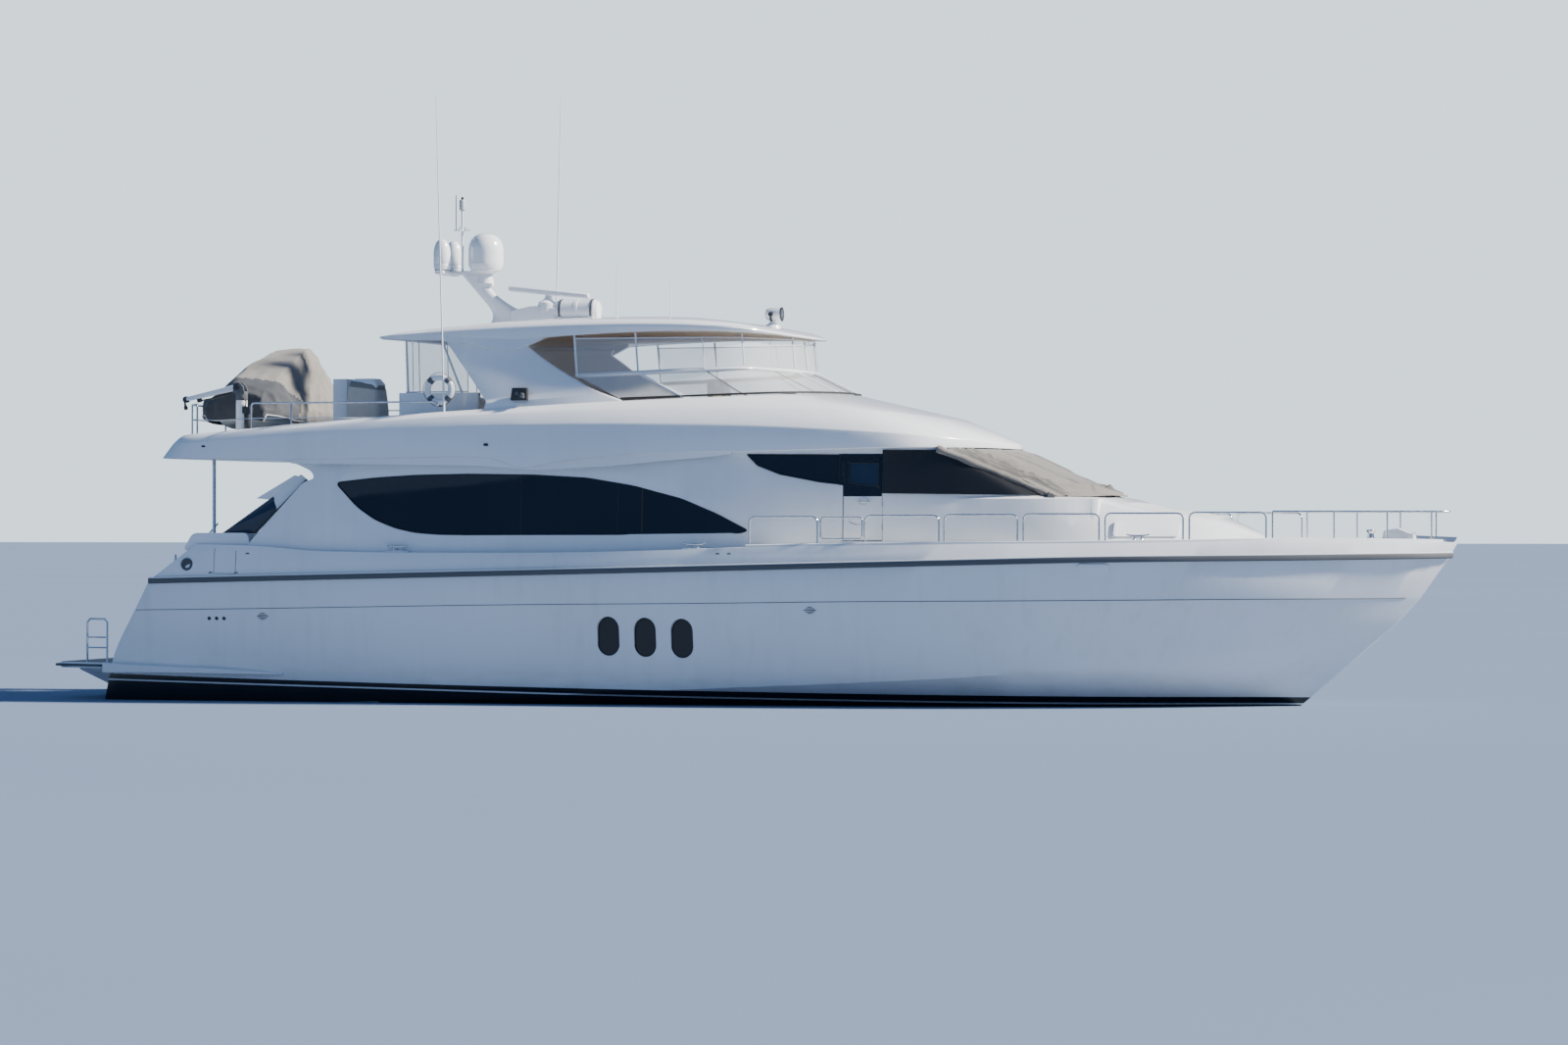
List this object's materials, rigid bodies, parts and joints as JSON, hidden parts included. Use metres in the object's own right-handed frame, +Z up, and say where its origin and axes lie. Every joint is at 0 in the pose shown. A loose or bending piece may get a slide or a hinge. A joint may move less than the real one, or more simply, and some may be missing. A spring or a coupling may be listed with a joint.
{
  "type": "motor yacht",
  "caption": "Flybridge motor yacht with a hardtop, a raked white hull with dark wrap windows, a covered tender on its boat deck, a mast with domes, side rails and a swim platform.",
  "frame": {"origin": "on the centre line, amidships, at the level of the still water the yacht floats in", "axes": "+X points to the bow along the centre line, +Y to port, +Z straight up"},
  "size_m": [24.2761, 6.4858, 12.3203],
  "materials": {
    "gelcoat": "polished white gelcoat",
    "rubber": "grey fendering",
    "stainless": "polished stainless steel",
    "painted": "white paint",
    "bronze": "propeller bronze",
    "glass": "dark tinted glass",
    "vinyl": "clear flexible sheet",
    "canvas": "grey acrylic canvas",
    "upholstery": "light marine vinyl",
    "engine": "light grey paint"
  },
  "bodies": {
    "yacht": {"hull_stern": "gelcoat", "hull_mid": "gelcoat", "hull_bow": "gelcoat", "rub_rail": "rubber", "swim_platform": "gelcoat", "engine_starboard": "engine", "engine_port": "engine", "flybridge": "gelcoat", "bridge_deck": "gelcoat", "deckhouse": "gelcoat", "pilothouse": "gelcoat", "saloon_window_starboard": "glass", "saloon_window_port": "glass", "pilothouse_window_starboard": "glass", "pilothouse_window_port": "glass", "windshield": "glass", "aft_bulkhead": "gelcoat", "wing_screen_starboard": "glass", "wing_screen_port": "glass", "aft_settee": "upholstery", "bridge_stair": "stainless", "foredeck_trunk": "gelcoat", "windshield_cover": "canvas", "hardtop": "gelcoat", "arch_starboard": "gelcoat", "arch_port": "gelcoat", "bridge_windscreen": "glass", "bridge_frame": "painted", "front_curtain": "vinyl", "aft_curtain": "vinyl", "helm_console": "gelcoat", "helm_seat": "upholstery", "bridge_settee": "upholstery", "mast": "gelcoat", "sat_dome": "gelcoat", "life_raft": "gelcoat", "boat_deck_rail": "stainless", "davit_post": "gelcoat", "tender": "rubber", "tender_cover": "canvas", "bow_rail": "stainless", "shaft_strut_starboard": "bronze", "shaft_strut_port": "bronze"},
    "starboard_propeller": {"propeller_starboard": "bronze"},
    "port_propeller": {"propeller_port": "bronze"},
    "starboard_rudder": {"rudder_starboard": "bronze"},
    "port_rudder": {"rudder_port": "bronze"},
    "starboard_fin": {"stabiliser_fin_starboard": "gelcoat"},
    "port_fin": {"stabiliser_fin_port": "gelcoat"},
    "scanner": {"radar_scanner": "gelcoat"},
    "starboard_pilothouse_door": {"pilothouse_door_starboard": "gelcoat"},
    "port_pilothouse_door": {"pilothouse_door_port": "gelcoat"},
    "starboard_gate": {"side_gate_starboard": "stainless"},
    "port_gate": {"side_gate_port": "stainless"},
    "aft_sliding_door": {"saloon_door": "glass"},
    "stern_door": {"transom_door": "gelcoat"},
    "starboard_lid": {"locker_lid_starboard": "gelcoat"},
    "port_lid": {"locker_lid_port": "gelcoat"},
    "davit_slewing_head": {"davit_head": "gelcoat"},
    "davit_arm": {"davit_boom": "gelcoat"}
  },
  "joints": [
    {"name": "starboard_propeller_spin", "type": "hinge", "parent": "yacht", "child": "starboard_propeller", "pos_m": [-8.55, -1.15, -1.1], "axis": [0.9874, 0, 0.158], "continuous": true},
    {"name": "port_propeller_spin", "type": "hinge", "parent": "yacht", "child": "port_propeller", "pos_m": [-8.55, 1.15, -1.1], "axis": [0.9874, 0, 0.158], "continuous": true},
    {"name": "starboard_rudder_steer", "type": "hinge", "parent": "yacht", "child": "starboard_rudder", "pos_m": [-9.26, -1.15, -1.1], "axis": [0, 0, 1], "range_deg": [-35, 35]},
    {"name": "port_rudder_steer", "type": "hinge", "parent": "yacht", "child": "port_rudder", "pos_m": [-9.26, 1.15, -1.1], "axis": [0, 0, 1], "range_deg": [-35, 35]},
    {"name": "starboard_fin_tilt", "type": "hinge", "parent": "yacht", "child": "starboard_fin", "pos_m": [-1.1, -2.12, -0.33], "axis": [0, -0.5708, -0.8211], "range_deg": [-30, 30]},
    {"name": "port_fin_tilt", "type": "hinge", "parent": "yacht", "child": "port_fin", "pos_m": [-1.1, 2.12, -0.33], "axis": [0, 0.5708, -0.8211], "range_deg": [-30, 30]},
    {"name": "radar_spin", "type": "hinge", "parent": "yacht", "child": "scanner", "pos_m": [-3.86, 0, 6.85], "axis": [0.1048, 0, 0.9945], "continuous": true},
    {"name": "starboard_pilothouse_door_swing", "type": "hinge", "parent": "yacht", "child": "starboard_pilothouse_door", "pos_m": [2.796, -2.246, 3.4], "axis": [0, 0, 1], "range_deg": [0, 90]},
    {"name": "port_pilothouse_door_swing", "type": "hinge", "parent": "yacht", "child": "port_pilothouse_door", "pos_m": [2.796, 2.246, 3.4], "axis": [0, 0, -1], "range_deg": [0, 90]},
    {"name": "starboard_gate_swing", "type": "hinge", "parent": "yacht", "child": "starboard_gate", "pos_m": [1.925, -2.971, 3], "axis": [0, 0, -1], "range_deg": [0, 90]},
    {"name": "port_gate_swing", "type": "hinge", "parent": "yacht", "child": "port_gate", "pos_m": [1.925, 2.971, 3], "axis": [0, 0, 1], "range_deg": [0, 90]},
    {"name": "saloon_door_slide", "type": "slide", "parent": "yacht", "child": "aft_sliding_door", "axis": [0, 1, 0], "range_m": [0, 0.93]},
    {"name": "transom_door_swing", "type": "hinge", "parent": "yacht", "child": "stern_door", "pos_m": [-10.13, -0.35, 1.3], "axis": [0, 0, 1], "range_deg": [0, 95]},
    {"name": "starboard_lid_lift", "type": "hinge", "parent": "yacht", "child": "starboard_lid", "pos_m": [7.165, -1.4595, 3.09], "axis": [-0.9442, -0.325, 0.0537], "range_deg": [0, 75]},
    {"name": "port_lid_lift", "type": "hinge", "parent": "yacht", "child": "port_lid", "pos_m": [7.165, 1.4595, 3.09], "axis": [0.9442, -0.325, -0.0537], "range_deg": [0, 75]},
    {"name": "davit_slew", "type": "hinge", "parent": "yacht", "child": "davit_slewing_head", "pos_m": [-8.75, -2.15, 5.2], "axis": [0, 0, 1], "range_deg": [0, 90]},
    {"name": "davit_luff", "type": "hinge", "parent": "davit_slewing_head", "child": "davit_arm", "pos_m": [-8.81, -2.15, 5.44], "axis": [0, 1, 0], "range_deg": [0, 60]}
  ],
  "couplings": [
    {"joint": "port_rudder_steer", "follows": "starboard_rudder_steer", "ratio": 1}
  ]
}
